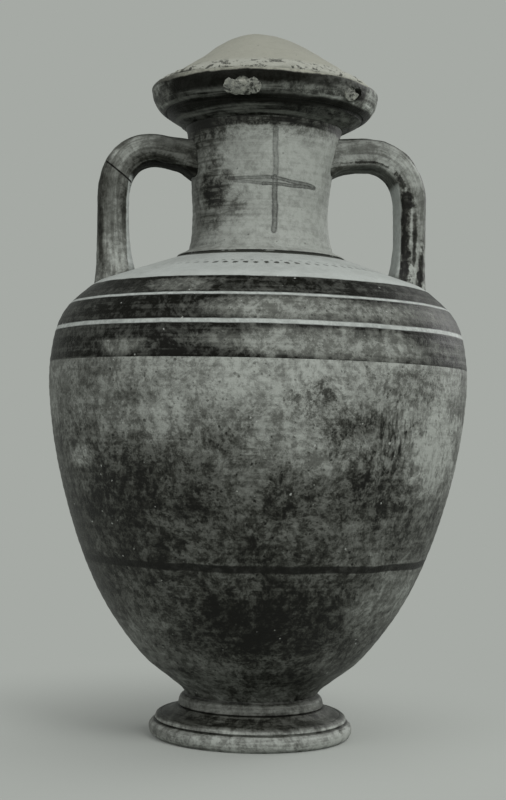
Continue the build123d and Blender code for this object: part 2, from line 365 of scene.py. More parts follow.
def make_edge_group():
    """Wear on raised edges."""
    graph, given = new_group("Edge wear", {"Low": 0.52, "High": 0.58})
    drift = graph.noise(90.0, 6.0, 0.65) - 0.5
    raised = drift * 0.09 + graph.value("NewGeometry", "Pointiness")
    close_group(graph, graph.spread(raised, given["Low"], given["High"]))


def empty_graph(owner):
    """The emptied graph of a material or a world."""
    owner.use_nodes = True
    owner.node_tree.nodes.clear()
    return Graph(owner.node_tree)


def new_material(name):
    """A material's empty graph, the jar's colours and the parts of its place on the object."""
    graph = empty_graph(bpy.data.materials.new("jar " + name))
    graph.place = graph.value("TexCoord", "Object")
    return graph, bpy.context.scene.jar_colours, graph.split(graph.place)


def finish_surface(graph, base, rough, depth, gloss=0.2, **grain):
    """Joins a colour, a roughness and a grain of a depth to a shader with some gloss."""
    height = graph.effect("Clay grain", **grain)
    bump = graph.value("Bump", 0, {"Height": height, "Strength": 0.7, "Distance": depth})
    inputs = {"Base Color": base, "Roughness": rough, "Normal": bump, "Specular IOR Level": gloss}
    graph.add("OutputMaterial", {"Surface": graph.value("BsdfPrincipled", 0, inputs)})


def stain_and_shade_tones(graph, level, clay, dark, black=1.0):
    """A level of stain and painted shade turned into a colour, from clean clay at 0 through the
    levels of the others.
    """
    tints = bpy.context.scene.jar_colours
    rows = [(0.0, tints.clay_pale), (clay, tints.clay), (dark, tints.clay_dark)]
    return graph.tones(level, *rows, (black, tints.slip))


# Painted bands and lines, as the heights of their two edges in millimetres; the rim's groove and
# the foot's waist and creases are painted shade
THIN_BAND = (160.2, 166.4)
BROAD_BAND = (320, 403.8)
UPPER_STRIPE = (386.8, 388.8)
LOWER_STRIPE = (363, 366.4)
SHOULDER_LINE = (430.9, 440)
NECK_LINE = (400, 434.6)
NECK_FRINGE = (544.8, 600)
RIM_GROOVE_SHADE = (559.7, 566.2)
RIM_CRUMBS = (584.2, 600)
FOOT_WAIST_SHADE = (37.2, 50)
FOOT_RING = (28.5, 37.5)
FOOT_SLOPE = (18.8, 28.4)
FOOT_CREASE_SHADE = ((13.8, 15.2), (27.2, 28.6))


def make_worn_wash():
    """Stained, worn wash of the lower body and belly, with a thin dark band, painted shade and
    painted reflection.
    """
    graph, tints, (x, _, z) = new_material("worn_wash")
    deep = graph.spread(z, 0.335, 0.19)
    bowl = graph.spread(z, 0.17, 0.12)
    left = graph.spread(x, -0.02, -0.15)
    right = graph.spread(x, 0.03, 0.13)
    cloud = graph.effect("Mottling", scale=8.0, low=0.38, high=0.62)
    blotch = graph.effect("Mottling", scale=28.0, low=0.4, high=0.6, roughness=0.72)
    fleck = graph.effect("Mottling", scale=130.0, low=0.42, high=0.58, roughness=0.8)
    fine = graph.effect("Mottling", scale=380.0, low=0.42, high=0.58, roughness=0.8)
    streak = graph.effect("Brush streaks", grain=(8.0, 8.0, 230.0), low=0.4, high=0.6)
    flakes = graph.effect("Brush streaks", grain=(260.0, 260.0, 42.0), low=0.5, high=0.58)
    pits = graph.effect("Specks", scale=330.0, reach=0.3, share=0.14)
    # Towards its sides the wash is darker high up, most on the left, and paler low down: partly its
    # own stains, partly painted shade on the left and a painted reflection along the lower sides.
    level = deep * 0.57 + bowl * 0.22 + left * 0.25 + right * 0.12 - 0.25
    level -= deep * (left * 0.2 + right * 0.22) + bowl * (left * 0.36 + right * 0.32)
    level += cloud * 0.16 + blotch * 0.19 + fleck * 0.3 + streak * 0.08 + fine * 0.14
    dark = [
        (46, 306, 15, 17, 0.42),
        (68, 280, 20, 24, 0.3),
        (100, 236, 34, 32, 0.22),
        (-60, 268, 60, 18, 0.14),
        (-120, 238, 46, 34, 0.14),
        (30, 235, 22, 30, 0.16),
        (0, 120, 50, 30, 0.12),
        (128, 318, 34, 16, 0.2),
        (-152, 268, 24, 30, 0.16),
    ]
    pale = [
        (-78, 278, 30, 20, 0.16),
        (60, 258, 50, 16, 0.14),
        (150, 262, 28, 30, 0.34),
        (0, 68, 100, 24, 0.24),
        (120, 110, 44, 44, 0.16),
        (-100, 82, 40, 34, 0.22),
        (-148, 252, 10, 8, 0.4),
        (0, 47, 90, 14, 0.34),
        (-68, 78, 30, 16, 0.26),
    ]
    level += graph.broken(graph.patches(dark, 0.6), fleck, 0.4)
    level -= graph.patches(pale, 0.6)
    side = graph.spread(x, 0.06, 0.13) * graph.spread(z, 0.32, 0.29)
    level += side * flakes * cloud * 0.45 + pits * 0.3
    base = stain_and_shade_tones(graph, level, 0.45, 0.8)
    band = graph.band(THIN_BAND, 0.9, 0.6)
    base = graph.blend(graph.broken(band, fleck, 0.8), base, tints.slip)
    lime = graph.effect("Specks", scale=210.0, reach=0.15, share=0.05)
    base = graph.blend(lime * 0.5, base, tints.lime)
    finish_surface(graph, base, graph.spread(level, 0.2, 1.0, 0.64, 0.46), 0.0008, scale=300.0)


def make_banded_slip():
    """Dark slip bands with two reserved stripes, and pale slip with brushed dots above them."""
    graph, tints, _ = new_material("banded_slip")
    cloud = graph.effect("Mottling", scale=11.0, low=0.42, high=0.66)
    fleck = graph.effect("Mottling", scale=120.0, low=0.42, high=0.6, roughness=0.8)
    stain = graph.effect("Mottling", scale=22.0, low=0.4, high=0.8)
    streak = graph.effect("Brush streaks", grain=(6.0, 6.0, 300.0), low=0.42, high=0.62)
    pits = graph.effect("Specks", scale=330.0, reach=0.3, share=0.14)
    # The first two patches, broad across the front and right of the band, are partly rubbed slip
    # and partly a painted sheen; the others are rubbed slip.
    spots = [
        (34, 376, 84, 8, 0.6),
        (52, 348, 88, 10, 0.68),
        (-60, 395.5, 22, 5, 0.5),
        (-108, 345, 22, 7, 0.6),
        (-20, 349, 46, 7, 0.4),
        (150, 348, 34, 4, 0.3),
    ]
    whole = [(-160, 346, 44, 12, 0.06), (-70, 346, 20, 9, 0.14), (-120, 373, 60, 8, 0.05)]
    rubbed_and_sheen = graph.broken(graph.patches(spots, 0.5, 30.0, 0.7), fleck, 0.6)
    # This wear also carries that painted sheen.
    wear = rubbed_and_sheen * 0.95 + cloud * 0.08 + fleck * 0.17 + streak * 0.1 - 0.09
    wear = (wear - graph.patches(whole, 0.5, 30.0, 0.7)) * (1.0 - pits * 0.5)
    dark = graph.tones(wear, (0.0, tints.slip), (0.4, tints.clay), (0.95, tints.clay_pale))
    stripes = [graph.band(edges, 0.4, 0.6) for edges in (UPPER_STRIPE, LOWER_STRIPE)]
    bare = graph.broken(graph.any_of(*stripes), 1.0 - fleck, 0.66)
    dark = graph.blend(bare, dark, tints.cream)
    first = graph.effect("Row of dots", radius=0.1185, half_long=0.0022, half_wide=0.003)
    sizes = {"radius": 0.1115, "half_long": 0.0015, "half_wide": 0.0016}
    second = graph.effect("Row of dots", shift=0.45, **sizes)
    clear = graph.patches([(-4, 418, 40, 30, 0.8), (30, 418, 90, 30, 0.4)], 0.2)
    dots = graph.any_of(first, second * 0.6) * (clear + 0.15)
    marks = graph.any_of(dots, graph.band(SHOULDER_LINE, 0.3, 0.3))
    cream = graph.blend(stain * 0.3 + fleck * 0.12, tints.cream, tints.clay)
    cream = graph.blend(marks, cream, tints.clay_dark)
    base = graph.blend(graph.band(BROAD_BAND), cream, dark)
    lime = graph.effect("Specks", scale=210.0, reach=0.15, share=0.04)
    base = graph.blend(lime * 0.45, base, tints.lime)
    rough = graph.spread(wear, 0.0, 0.8, 0.4, 0.62)
    finish_surface(graph, base, rough, 0.0007, gloss=0.07, scale=300.0)


# Brush strokes of the cross on the neck: across and height at each end, half width and strength
CROSS = [
    (10.2, 541, 10.7, 500, 2.5, 0.62),
    (10.7, 500, 11, 453, 2.5, 0.88),
    (-29, 498.5, 8, 499.5, 1.6, 0.72),
    (8, 499.5, 45, 494.8, 1.7, 0.95),
    (-24, 496.5, 0, 493.5, 1.3, 0.6),
    (0, 493.5, 45, 493.8, 1.5, 0.95),
    (-10, 496.5, 40, 495.5, 2.2, 0.4),
]


def brush_strokes(graph, rows):
    """Brush strokes on the front, given like those of the cross."""
    masks = []
    for across, height, end_across, end_height, half_width, strength in rows:
        ends = {"start": (across * MM, 0.0, height * MM)}
        ends |= {"end": (end_across * MM, 0.0, end_height * MM)}
        masks.append(graph.effect("Brush stroke", half_width=half_width * MM, **ends) * strength)
    return graph.any_of(*masks)


def make_pale_clay():
    """Pale clay of the neck, with a brushed cross, a dark smudge and a dark line at its foot."""
    graph, tints, (x, _, z) = new_material("pale_clay")
    cloud = graph.effect("Mottling", scale=20.0, low=0.38, high=0.66)
    fleck = graph.effect("Mottling", scale=150.0, low=0.42, high=0.62, roughness=0.8)
    gaps = graph.effect("Mottling", scale=60.0, low=0.56, high=0.6)
    streak = graph.effect("Brush streaks", grain=(14.0, 14.0, 380.0), low=0.42, high=0.62)
    pits = graph.effect("Specks", scale=280.0, reach=0.2, share=0.05)
    rough_edge = graph.any_of(fleck, streak)
    # Painted shade: the left side of the neck is darkened.
    left = graph.spread(x, -0.02, -0.062)
    high = graph.spread(fleck * 0.006 + z, 0.534, 0.552)
    spots = [
        (-41, 490, 13, 16, 0.85),
        (-44, 508, 7, 18, 0.6),
        (-56, 538, 22, 16, 0.45),
        (-60, 515, 9, 32, 0.4),
        (-32, 478, 14, 12, 0.45),
        (-46, 464, 11, 11, 0.4),
    ]
    level = cloud * 0.16 + fleck * 0.2 + streak * 0.07 + left * 0.2 + high * 0.26 - 0.05
    level += graph.broken(graph.patches(spots, 0.5, 75.0, 0.8), rough_edge, 0.5)
    level += graph.broken(graph.band(NECK_FRINGE, 2.2, 1.2), rough_edge, 0.4) * 0.62
    level += pits * 0.25
    base = graph.blend(brush_strokes(graph, CROSS), stain_and_shade_tones(graph, level, 0.42, 0.75), tints.slip)
    line = graph.band(NECK_LINE, 0.4, 0.4) * (1.0 - gaps)
    base = graph.blend(line * 0.9, base, tints.slip)
    rough = graph.spread(level, 0.0, 1.0, 0.66, 0.48)
    finish_surface(graph, base, rough, 0.0005, scale=320.0, rings=0.2)


def make_dark_slip():
    """Glossy dark slip of the rim, streaked underneath and worn through to the right, partly as
    painted highlights.
    """
    graph, tints, (x, _, z) = new_material("dark_slip")
    fleck = graph.effect("Mottling", scale=90.0, low=0.42, high=0.6, roughness=0.8)
    streak = graph.effect("Brush streaks", grain=(12.0, 12.0, 300.0), low=0.44, high=0.62)
    edge = graph.effect("Edge wear", low=0.56, high=0.66)
    # Paler to the right, low on the swell and in streaks underneath: partly worn slip and partly
    # painted highlights.
    right = graph.spread(x, 0.02, 0.09)
    under = graph.spread(z, 0.574, 0.568)
    spots = [
        (-97, 580, 8, 4, 0.6),
        (-92, 571, 7, 5, 0.5),
        (98, 577, 12, 14, 0.5),
        (34, 572, 40, 2.4, 0.36),
        (50, 568, 30, 2, 0.4),
        (70, 572, 12, 5, 0.3),
    ]
    worn = graph.broken(graph.patches(spots, 0.7, 70.0, 0.8), graph.any_of(fleck, streak), 0.2)
    wear = right * 0.06 + under * (streak * 0.24 + fleck * 0.12)
    wear += fleck * right * 0.22 + worn + fleck * 0.02
    # Painted shade: the groove under the swell and the cavity are kept dark, and the cavity partly
    # from dirt too.
    cavity = graph.patches([(82.5, 574, 6, 5, 1.0)], 0.4, 90.0, 0.3)
    recess_shade_and_dirt = graph.any_of(graph.band(RIM_GROOVE_SHADE, 1.6, 1.2), cavity)
    wear = graph.any_of(wear * (1.0 - recess_shade_and_dirt * 0.9), edge * 0.5)
    rows = [(0.0, tints.slip), (0.35, tints.clay), (0.8, tints.clay_pale), (1.0, tints.lime)]
    base = graph.tones(wear, *rows)
    out = graph.math("LENGTH", graph.place * (1.0, 1.0, 0.0))
    outside = graph.spread(out, (RIM_RADIUS - 14) * MM, (RIM_RADIUS - 7) * MM, 0.35)
    front = graph.spread(x, -0.095, -0.055) * graph.spread(x, 0.115, 0.085)
    crumbs = graph.band(RIM_CRUMBS, 2.2, 0.8) * outside * (front * 0.8 + 0.2)
    base = graph.blend(graph.broken(crumbs, 1.0 - fleck, 0.6), base, tints.plaster)
    rough = graph.spread(wear, 0.0, 0.6, 0.4, 0.62)
    finish_surface(graph, base, rough, 0.0009, gloss=0.05, scale=320.0)


# Marks on the handles: along from the neck, outwards, half length, half width and strength
RIGHT_DARK = [
    (92, -8, 12, 2.6, 0.7),
    (113, -6.2, 10, 4.6, 0.95),
    (140, -8.4, 50, 3, 0.72),
    (176, -7, 17, 5.5, 0.8),
    (150, 1, 30, 1.8, 0.5),
    (178, 8, 24, 2.4, 0.8),
    (45, -9.5, 26, 1, 0.55),
    (100, 12.8, 80, 1.3, 0.5),
]
# Pale marks on the right handle; the one on the outer side of the bend is a painted highlight.
RIGHT_PALE_AND_HIGHLIGHT = [
    (60, 1, 44, 8, 0.12),
    (95, 6, 16, 4.5, 0.3),
    (132, -2.8, 16, 1.6, 0.25),
    (180, -0.5, 9, 3, 0.35),
]
LEFT_DARK = [
    (46, -9, 30, 4, 0.42),
    (68, -8, 9, 3.4, 0.35),
    (14, -6, 14, 12, 0.25),
    (135, 12, 52, 3, 0.4),
    (118, -8, 24, 3, 0.22),
    (178, -15, 16, 3, 0.25),
]
LEFT_LIGHT = [
    (82, 10.5, 4, 3, 0.25),
    (125, -3, 22, 3, 0.14),
    (168, -5, 18, 9, 0.2),
    (70, 4, 26, 6, 0.16),
]


def make_handle_clay():
    """Handle clay: bare on its inner side, with streaks of worn slip along its outer sides."""
    graph, tints, _ = new_material("handle_clay")
    graph.place = graph.value("Attribute", "Vector", attribute_name="strap_place")
    along, _, out = graph.split(graph.place)
    is_right = graph.value("Attribute", "Fac", attribute_name="strap_side")
    is_left = 1.0 - is_right
    cloud = graph.effect("Mottling", scale=26.0, low=0.38, high=0.64)
    fleck = graph.effect("Mottling", scale=130.0, low=0.42, high=0.6, roughness=0.8)
    streak = graph.effect("Brush streaks", grain=(16.0, 190.0, 230.0), low=0.38, high=0.62)
    edge = graph.effect("Edge wear", low=0.6, high=0.72)
    drift = (graph.noise(60.0, 4.0, 0.6) - 0.5) * 0.003
    inner = graph.spread(out + drift, -0.0112, -0.0122)
    grip = graph.spread(along, 0.088, 0.098) * graph.spread(along, 0.19, 0.176)
    # Painted shade: the inner face away from the grip is darkened as the shaded underside, more on
    # the left handle.
    under = inner * (1.0 - grip)
    dark = graph.patches(RIGHT_DARK, 0.8, 130.0, 0.45) * is_right
    dark += graph.patches(LEFT_DARK, 0.5, 80.0, 0.9) * is_left
    light = graph.patches(RIGHT_PALE_AND_HIGHLIGHT, 0.5, 90.0, 0.9) * is_right
    light += graph.patches(LEFT_LIGHT, 0.6, 90.0, 0.9) * is_left
    level = cloud * 0.18 + fleck * 0.18 + streak * 0.22 + is_left * 0.12
    level += under * (is_left * 0.12 + 0.2)
    level += graph.broken(dark, graph.any_of(fleck, streak), 0.58) - light
    bare = graph.blend(fleck * 0.3, tints.cream, tints.clay)
    base = graph.blend(inner * grip, stain_and_shade_tones(graph, level, 0.32, 0.66, 0.95), bare)
    base = graph.blend(edge * 0.5, base, tints.lime)
    # The old break's line is painted dark: partly shade in the crack and partly dirt in it.
    gap = graph.value("Attribute", "Fac", attribute_name="strap_break")
    crack = graph.spread(graph.math("ABSOLUTE", gap), 0.0011, 0.0005) * is_left
    base = graph.blend(graph.broken(crack, fleck, 0.8), base, tints.slip)
    rough = graph.any_of(graph.spread(level, 0.2, 0.9, 0.62, 0.42), inner * 0.95)
    finish_surface(graph, base, rough, 0.0008, gloss=0.12, scale=300.0, rings=0.1)


def make_plaster():
    """Rough pale plaster, cracked and pitted near its edge."""
    graph, tints, (_, _, z) = new_material("plaster")
    cloud = graph.effect("Mottling", scale=14.0, low=0.42, high=0.72)
    fleck = graph.effect("Mottling", scale=120.0, low=0.45, high=0.75, roughness=0.72)
    crack = graph.effect("Mottling", scale=90.0, low=0.52, high=0.57, roughness=0.8)
    coarse = graph.effect("Mottling", scale=170.0, low=0.4, high=0.56, roughness=0.8)
    holes = graph.effect("Mottling", scale=170.0, low=0.53, high=0.56, roughness=0.78)
    pits = graph.effect("Specks", scale=260.0, reach=0.34, share=0.2)
    dust = graph.effect("Specks", scale=150.0, reach=0.1, share=0.3)
    low = graph.spread(z, 0.602, 0.596)
    plug = graph.spread(z, 0.5845, 0.583)
    base = graph.blend(cloud * 0.16 + fleck * 0.14, tints.plaster, tints.clay)
    base = graph.blend(low * (1.0 - cloud) * 0.2, base, tints.lime)
    base = graph.blend(plug * coarse * 0.8, base, tints.clay)
    base = graph.blend(plug * crack * 0.35, base, tints.lime)
    base = graph.blend(plug * holes * 0.85, base, tints.slip)
    marks = graph.any_of(low * graph.any_of(pits, crack), dust * 0.6) * (0.85 - plug * 0.3)
    base = graph.blend(marks, base, tints.clay_dark)
    creep = graph.patches([(-76, 587.5, 17, 3.4, 1.0)], 0.5, 90.0, 0.4)
    creep *= graph.spread(z, 0.5862, 0.5872)
    base = graph.blend(graph.broken(creep, crack, 0.75), base, tints.slip)
    rough = graph.spread(fleck, 0.0, 1.0, 0.8, 0.92)
    finish_surface(graph, base, rough, 0.0012, scale=240.0, rings=0.0)


def make_foot_clay():
    """Turned clay of the foot, dark in its hollows from painted shade, and crusted with lime to the
    right.
    """
    graph, tints, (x, _, _) = new_material("foot_clay")
    cloud = graph.effect("Mottling", scale=20.0, low=0.35, high=0.68)
    fleck = graph.effect("Mottling", scale=120.0, low=0.42, high=0.6, roughness=0.8)
    streak = graph.effect("Brush streaks", grain=(16.0, 16.0, 420.0), low=0.42, high=0.6)
    edge = graph.effect("Edge wear", low=0.56, high=0.68)
    # Painted shade: the waist under the body and the two creases are darkened.
    slope = graph.band(FOOT_SLOPE, 1.2, 1.6)
    waist = graph.band(FOOT_WAIST_SHADE, 0.5, 0.8)
    ring = graph.band(FOOT_RING, 0.8, 1.2)
    crease = graph.band(FOOT_CREASE_SHADE[0], 0.3, 0.4)
    ridge_crease = graph.band(FOOT_CREASE_SHADE[1], 0.2, 0.4)
    # Darker to the left: partly dark slip and partly painted shade.
    left = graph.spread(x, 0.0, -0.09)
    level = cloud * 0.14 + fleck * 0.32 + streak * 0.16 + slope * 0.5 + waist * 0.5 + ring * 0.24
    level += crease * 0.5 + ridge_crease * 0.4 + left * 0.14
    level -= graph.patches([(62, 8, 26, 9, 0.22), (0, 7, 50, 8, 0.12)], 0.8, 110.0)
    base = graph.blend(edge * 0.4, stain_and_shade_tones(graph, level, 0.4, 0.8), tints.clay_pale)
    finish_surface(graph, base, graph.spread(level, 0.0, 1.0, 0.64, 0.5), 0.0007, scale=300.0)


# Outlines of the turned pieces, in millimetres, as radius and height

WALL = 8.5
LAP = 8.0
SEAT_DEPTH = 7.0
SEAT_RADIUS = 52.0
WAIST = (60.4, 39.0)
SEAT = WAIST[1] - SEAT_DEPTH
BOWL_FLOOR = SEAT + 12
BELLY = (BELLY_RADIUS, LOW_SEAM + 165)
SHOULDER_END = (BELLY_RADIUS * 0.7282, HIGH_SEAM + 77)
NECK_EDGE = (NECK_SEAT_RADIUS - 2.5, SHOULDER_TOP)
NECK_TOP_RADIUS = RIM_RADIUS - 32
MOUTH_RADIUS = NECK_TOP_RADIUS - 5
BORE = NECK_SEAT_RADIUS - 19.5
NECK_MIDDLE = (472, 490)
LOW_SHARES = [
    (0, 0),
    (0.022, 0.015),
    (0.116, 0.049),
    (0.28, 0.107),
    (0.427, 0.184),
    (0.572, 0.28),
    (0.698, 0.392),
    (0.817, 0.536),
    (0.914, 0.696),
    (0.976, 0.856),
    (1, 1),
]
HIGH_SHARES = [
    (0.05, 0.315),
    (0.146, 0.535),
    (0.309, 0.704),
    (0.551, 0.841),
    (0.68, 0.905),
    (0.81, 0.958),
    (1, 1),
]
# Mouldings of the foot from the waist down: each is a crease and then a curve, as shares of the
# way to the foot's edge and to the ground
FOOT_MOULDINGS = [
    [(0.016, 0.044), (0.069, 0.056), (0.13, 0.1), (0.16, 0.165), (0.184, 0.272)],
    [(0.171, 0.292), (0.23, 0.308), (0.3, 0.345), (0.42, 0.405), (0.626, 0.462)],
    [(0.648, 0.472), (0.673, 0.464), (0.72, 0.47), (0.8, 0.52), (0.838, 0.592)],
    [(0.81, 0.623), (0.86, 0.641), (0.95, 0.69), (1.0, 0.795), (0.965, 0.93), (0.86, 1.0)],
]


def between(start, end, shares):
    """Points given as shares of the way between two corners."""
    out, up = end[0] - start[0], end[1] - start[1]
    return [(start[0] + out * a, start[1] + up * b) for a, b in shares]


def vectors(points):
    """Points as vectors."""
    return [Vector(point) for point in points]


def curve_point(points, share):
    """A point on the even curve through four points, between the middle two."""
    places = [0.0]
    for first, second in zip(points, points[1:]):
        places.append(places[-1] + max((second - first).length, 1e-6) ** 0.5)
    here = places[1] + (places[2] - places[1]) * share

    def meet(first, second, start, end):
        return first.lerp(second, (here - places[start]) / (places[end] - places[start]))

    first = meet(points[0], points[1], 0, 1)
    second = meet(points[1], points[2], 1, 2)
    third = meet(points[2], points[3], 2, 3)
    return meet(meet(first, second, 0, 2), meet(second, third, 1, 3), 1, 2)


def curve_through(points, spacing):
    """Closely spaced points on a smooth curve through a few."""
    knots = vectors(points)
    knots = [2 * knots[0] - knots[1], *knots, 2 * knots[-1] - knots[-2]]
    line = []
    for index in range(1, len(knots) - 2):
        steps = max(1, round((knots[index + 1] - knots[index]).length / spacing))
        for step in range(steps):
            line.append(curve_point(knots[index - 1 : index + 3], step / steps))
    return line + [knots[-2]]


def straight(start, end, spacing):
    """Evenly spaced points on a straight line, without its last point."""
    start, end = Vector(start), Vector(end)
    steps = max(1, round((end - start).length / spacing))
    return [start.lerp(end, step / steps) for step in range(steps)]


def way_along(line, index):
    """The way that a line runs at one of its points."""
    return line[min(index + 1, len(line) - 1)] - line[max(index - 1, 0)]


def inside(line, depth):
    """The line that lies a depth inside an outer line, from its end to its start."""
    points = []
    for index, point in enumerate(line):
        ahead = way_along(line, index)
        points.append(point + Vector((-ahead.y, ahead.x)).normalized() * depth)
    return points[::-1]


def cut_at(line, height):
    """The two parts of a line, on either side of a height that it crosses once."""
    for index in range(len(line) - 1):
        first, second = line[index], line[index + 1]
        if (first.y - height) * (second.y - height) <= 0 and first.y != second.y:
            cut = first.lerp(second, (height - first.y) / (second.y - first.y))
            return line[: index + 1] + [cut], [cut] + line[index + 1 :]
    raise ValueError(f"the line doesn't reach {height}")


def thrown(line):
    """A line with the faint rings of throwing."""
    sizes = bpy.context.scene.jar_sizes
    points = []
    for point in line:
        turns = 2 * pi * point.y * MM / sizes.ring_pitch
        rise = (sin(turns) + 0.5 * sin(turns * 0.37 + 1)) * sizes.ring_depth / MM
        points.append(Vector((point.x + rise, point.y)))
    return points


def slope_height(radius):
    """Height of the shoulder's slope at a radius."""
    pitch = (NECK_EDGE[1] - SHOULDER_END[1]) / (SHOULDER_END[0] - NECK_EDGE[0])
    return SHOULDER_END[1] + (SHOULDER_END[0] - radius) * pitch


def body_line(spacing=2.6):
    """Outer line of the body from the waist to the end of the shoulder's curve."""
    points = between(WAIST, BELLY, LOW_SHARES) + between(BELLY, SHOULDER_END, HIGH_SHARES)
    return curve_through(points, spacing)


def neck_lap():
    """The step where the neck enters the rim, from the outside in."""
    middle, inner = NECK_TOP_RADIUS - WALL / 2, NECK_TOP_RADIUS - WALL
    return vectors([(middle, NECK_TOP), (middle, NECK_TOP + LAP), (inner, NECK_TOP + LAP)])


def neck_line(inset=0.0, spacing=2.6):
    """Side of the neck from its flare to the rim."""
    base = (NECK_EDGE[0] - 11, SHOULDER_TOP + 7.6)
    waist = (NECK_TOP_RADIUS - 9.4, SHOULDER_TOP + (NECK_TOP - SHOULDER_TOP) * 0.32)
    top = (NECK_TOP_RADIUS, NECK_TOP)
    points = [base] + between(waist, base, [(0.47, 0.7), (0.15, 0.35)]) + [waist]
    points += between(waist, top, [(0.04, 0.14), (0.15, 0.29), (0.34, 0.55), (0.64, 0.8)]) + [top]
    return curve_through([(radius - inset, height) for radius, height in points], spacing)


# Modelling


def make_active(piece):
    """Selects one piece and nothing else."""
    bpy.ops.object.select_all(action="DESELECT")
    piece.select_set(True)
    bpy.context.view_layer.objects.active = piece


def begin_piece(name, add, **settings):
    """Adds a primitive at the origin and opens it for editing, with all of it selected."""
    bpy.ops.object.select_all(action="DESELECT")
    add(location=(0, 0, 0), **settings)
    piece = bpy.context.object
    piece.name = name
    piece.data.name = name
    bpy.ops.object.mode_set(mode="EDIT")
    bpy.ops.mesh.select_all(action="SELECT")
    return piece


def pick(piece, wanted):
    """Opens a piece for editing with only the wanted points selected."""
    if bpy.context.mode != "OBJECT":
        bpy.ops.object.mode_set(mode="OBJECT")
    make_active(piece)
    bpy.ops.object.mode_set(mode="EDIT")
    bpy.ops.mesh.select_all(action="DESELECT")
    bpy.ops.object.mode_set(mode="OBJECT")
    for vertex in piece.data.vertices:
        vertex.select = wanted(vertex.co)
    bpy.ops.object.mode_set(mode="EDIT")


def turn(angle, axis, centre):
    """Turns what is selected about an axis through a centre, by the right hand."""
    bpy.ops.transform.rotate(value=-angle, orient_axis=axis, center_override=centre)


def close_and_smooth(piece, angle):
    """Merges doubled points, points the faces outwards and smooths what isn't an edge."""
    bpy.ops.mesh.select_all(action="SELECT")
    bpy.ops.mesh.remove_doubles(threshold=1e-5)
    bpy.ops.mesh.normals_make_consistent(inside=False)
    bpy.ops.object.mode_set(mode="OBJECT")
    make_active(piece)
    bpy.ops.object.shade_smooth_by_angle(angle=radians(angle))


def turned_piece(name, outline, sides=256, smooth=35):
    """A piece turned from an outline in millimetres, which closes on itself or on the axis."""
    piece = begin_piece(name, bpy.ops.mesh.primitive_plane_add, size=MM)
    bpy.ops.mesh.merge(type="CENTER")
    here = Vector((0, 0))
    closing = [outline[0]] if outline[0][0] > 0 or outline[-1][0] > 0 else []
    for index, point in enumerate(list(outline) + closing):
        step = Vector(point) - here
        move = (step.x * MM, 0, step.y * MM)
        if index == 0:
            bpy.ops.transform.translate(value=move)
        else:
            bpy.ops.mesh.extrude_vertices_move(TRANSFORM_OT_translate={"value": move})
        here = Vector(point)
    bpy.ops.mesh.select_all(action="SELECT")
    bpy.ops.mesh.remove_doubles(threshold=1e-6)
    bpy.ops.mesh.select_all(action="SELECT")
    bpy.ops.mesh.spin(steps=sides, angle=2 * pi, center=(0, 0, 0), axis=(0, 0, 1))
    close_and_smooth(piece, smooth)
    return piece


def apply(piece, kind, **settings):
    """Adds a modifier with its settings and applies it."""
    make_active(piece)
    modifier = piece.modifiers.new(kind, kind)
    for key, value in settings.items():
        setattr(modifier, key, value)
    bpy.ops.object.modifier_apply(modifier=modifier.name)


def cloud_texture(scale):
    """A cloud texture of one scale, made once."""
    name = f"clouds {scale}"
    texture = bpy.data.textures.get(name) or bpy.data.textures.new(name, "CLOUDS")
    texture.noise_scale = scale
    texture.noise_depth = 3
    return texture


def lump(piece, scale, height, direction="NORMAL", group=""):
    """Raises soft lumps of a scale and height, all over or on a group of points."""
    settings = {"texture_coords": "LOCAL", "direction": direction, "strength": height}
    apply(piece, "DISPLACE", texture=cloud_texture(scale), vertex_group=group, **settings)


# Lumps raised on the pieces: how broad and how high each kind is, in millimetres
FOOT_LUMPS = [(12, 0.5)]
NECK_LUMPS = [(30, 0.6)]
RIM_LUMPS = [(22, 1.1), (6, 0.4)]
LID_LUMPS = [(12, 0.8)]
LID_CRUMBS = [(9, 3.2), (3.5, 1.8)]
FILLING_LUMPS = [(3.5, 1.6)]
HANDLE_LUMPS = [(30, 2.2), (8, 0.6)]
# How broad the sway of the wall is along each axis, in metres
SWAY_SCALES = {"X": 0.22, "Y": 0.27}


def lumps(piece, rows, group=""):
    """Raises each kind of lump in a table."""
    for breadth, height in rows:
        lump(piece, breadth * MM, height * MM, group=group)


def pull(piece, wanted, shift, reach):
    """Shifts the wanted points along X, and those within a reach of them ever less."""
    pick(piece, wanted)
    bpy.ops.transform.translate(
        value=(shift, 0, 0),
        use_proportional_edit=True,
        proportional_edit_falloff="SMOOTH",
        proportional_size=reach,
    )
    bpy.ops.object.mode_set(mode="OBJECT")


def sway(piece):
    """Lets the wall stray from a true circle, the same way for every piece."""
    for axis, scale in SWAY_SCALES.items():
        lump(piece, scale, bpy.context.scene.jar_sizes.sway, axis)


def cut(piece, cutter):
    """Takes a cutter's shape out of a piece."""
    apply(piece, "BOOLEAN", object=cutter, operation="DIFFERENCE", solver="EXACT")
    bpy.data.objects.remove(cutter)


def way_out(around):
    """The way out from the axis at an angle in degrees round from the front."""
    return Vector((sin(radians(around)), -cos(radians(around)), 0))


def bite(piece, rows):
    """Chips a piece at rows of radius, angle round from the front, height and reach."""
    for radius, around, height, reach in rows:
        stone = begin_piece(
            "stone", bpy.ops.mesh.primitive_ico_sphere_add, subdivisions=4, radius=reach * MM
        )
        spot = way_out(around) * radius + Vector((0, 0, height))
        bpy.ops.transform.translate(value=spot * MM)
        bpy.ops.object.mode_set(mode="OBJECT")
        lump(stone, 0.005, reach * 0.7 * MM)
        cut(piece, stone)


def dress(piece, body, slot, node, smooth=35):
    """Gives a finished piece its finish and its body, and hides the node that it stands for."""
    make_active(piece)
    bpy.ops.object.shade_smooth_by_angle(angle=radians(smooth))
    piece.data.materials.clear()
    piece.data.materials.append(bpy.data.materials["jar " + slot])
    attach(piece, body)
    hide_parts(node)


